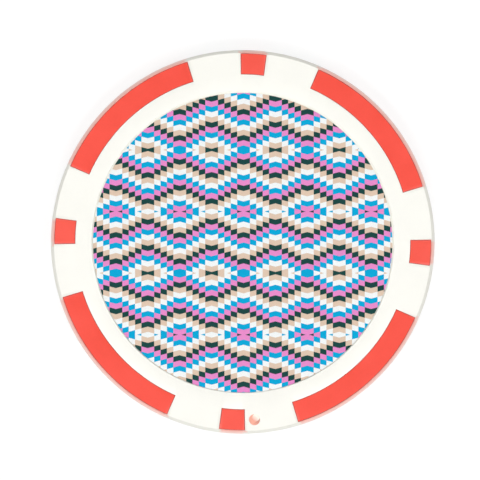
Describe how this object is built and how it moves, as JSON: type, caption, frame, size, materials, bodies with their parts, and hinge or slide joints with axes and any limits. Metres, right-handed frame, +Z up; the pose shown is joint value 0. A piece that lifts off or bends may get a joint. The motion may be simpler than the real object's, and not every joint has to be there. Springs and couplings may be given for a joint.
{
  "type": "ball marker",
  "caption": "Flat round ball marker in the form of a weighted two-colour moulded chip, with red spots in an ivory face and a printed, laminated disc let into each side.",
  "frame": {"origin": "centre of the lower face, on the plane that the chip lies on", "axes": "+Z up through the chip's thickness, out of the front face; +Y towards the top edge of the printed discs; +X to the right"},
  "size_m": [0.039, 0.039, 0.0033],
  "materials": {
    "slug_steel": "blanked and zinc plated, dull",
    "spot_red": "moulded, satin with a fine grain",
    "body_ivory": "moulded, satin with a fine grain",
    "label_adhesive": "clear pressure-sensitive adhesive",
    "label_stock": "white stock printed in four inks",
    "label_laminate": "clear gloss film"
  },
  "bodies": {
    "root": {"steel_slug": "slug_steel", "red_spot_ring": "spot_red", "ivory_body": "body_ivory", "front_adhesive": "label_adhesive", "front_label": "label_stock", "front_laminate": "label_laminate", "back_adhesive": "label_adhesive", "back_label": "label_stock", "back_laminate": "label_laminate"}
  },
  "joints": []
}
